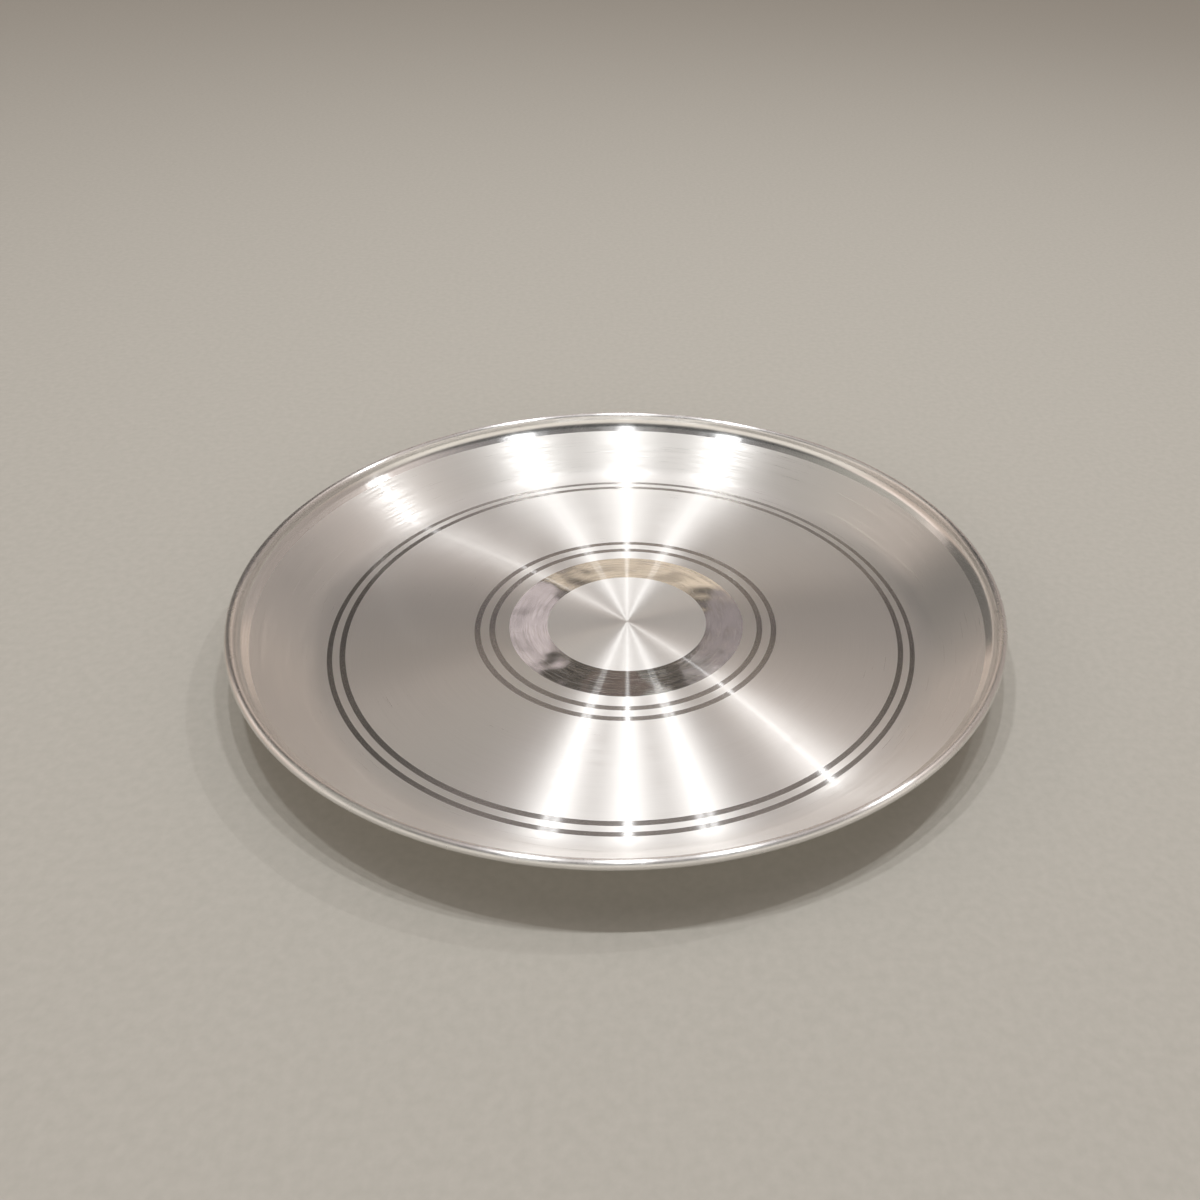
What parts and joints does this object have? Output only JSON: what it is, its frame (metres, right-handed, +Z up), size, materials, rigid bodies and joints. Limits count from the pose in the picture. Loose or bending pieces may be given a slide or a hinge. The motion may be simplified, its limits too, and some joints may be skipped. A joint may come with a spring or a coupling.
{
  "type": "thali plate",
  "caption": "Round metal thali plate: flat brushed base with polished rings, a rising border, a short steep wall and an edge curled over a rim wire.",
  "frame": {"origin": "centre of the flat underside, on the surface that the plate stands on", "axes": "+Z up along the plate's axis of turning; X and Y are any two directions across it"},
  "size_m": [0.305, 0.305, 0.0243],
  "materials": {
    "sheet_metal": "satin, turned in circles, with mirror-polished rings and rim",
    "wire_metal": "plain drawn wire"
  },
  "bodies": {
    "root": {"dish": "sheet_metal", "rim_wire": "wire_metal"}
  },
  "joints": []
}
